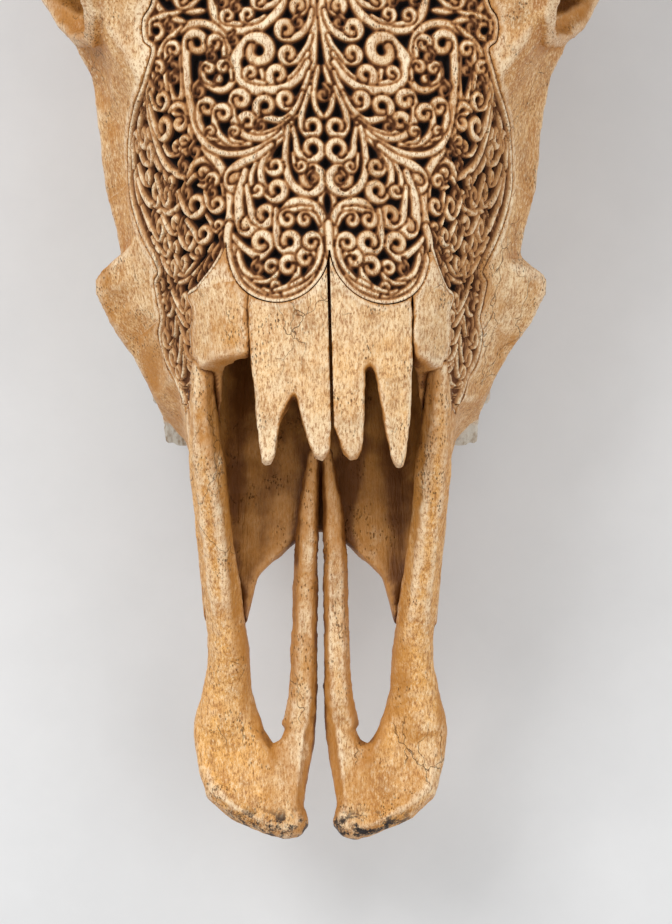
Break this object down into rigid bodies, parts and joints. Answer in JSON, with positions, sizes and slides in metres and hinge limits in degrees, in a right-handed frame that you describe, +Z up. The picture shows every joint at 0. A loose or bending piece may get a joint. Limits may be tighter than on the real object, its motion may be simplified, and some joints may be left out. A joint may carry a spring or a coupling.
{
  "type": "carved ox skull",
  "caption": "Life-size ox skull without its lower jaw, with horns and a pierced scroll carving over the face, resting on its teeth.",
  "frame": {"origin": "on the floor, below the middle of the bounding box", "axes": "+Z up, the muzzle points to -Y, +X is the animal's left"},
  "size_m": [0.4556, 0.5152, 0.2676],
  "materials": {
    "bone": "dry, fine-pored bone, pale on the ridges and tan to brown in the hollows",
    "horn": "dark keratin with growth rings, half dull"
  },
  "bodies": {
    "root": {"nasal_left": "bone", "nasal_right": "bone", "premaxilla_left": "bone", "premaxilla_right": "bone", "maxilla_left": "bone", "maxilla_right": "bone", "lacrimal_left": "bone", "lacrimal_right": "bone", "zygomatic_left": "bone", "zygomatic_right": "bone", "frontal_left": "bone", "frontal_right": "bone", "braincase": "bone", "occipital": "bone", "palatine": "bone", "vomer": "bone", "horn_left": "horn", "horn_right": "horn"}
  },
  "joints": []
}
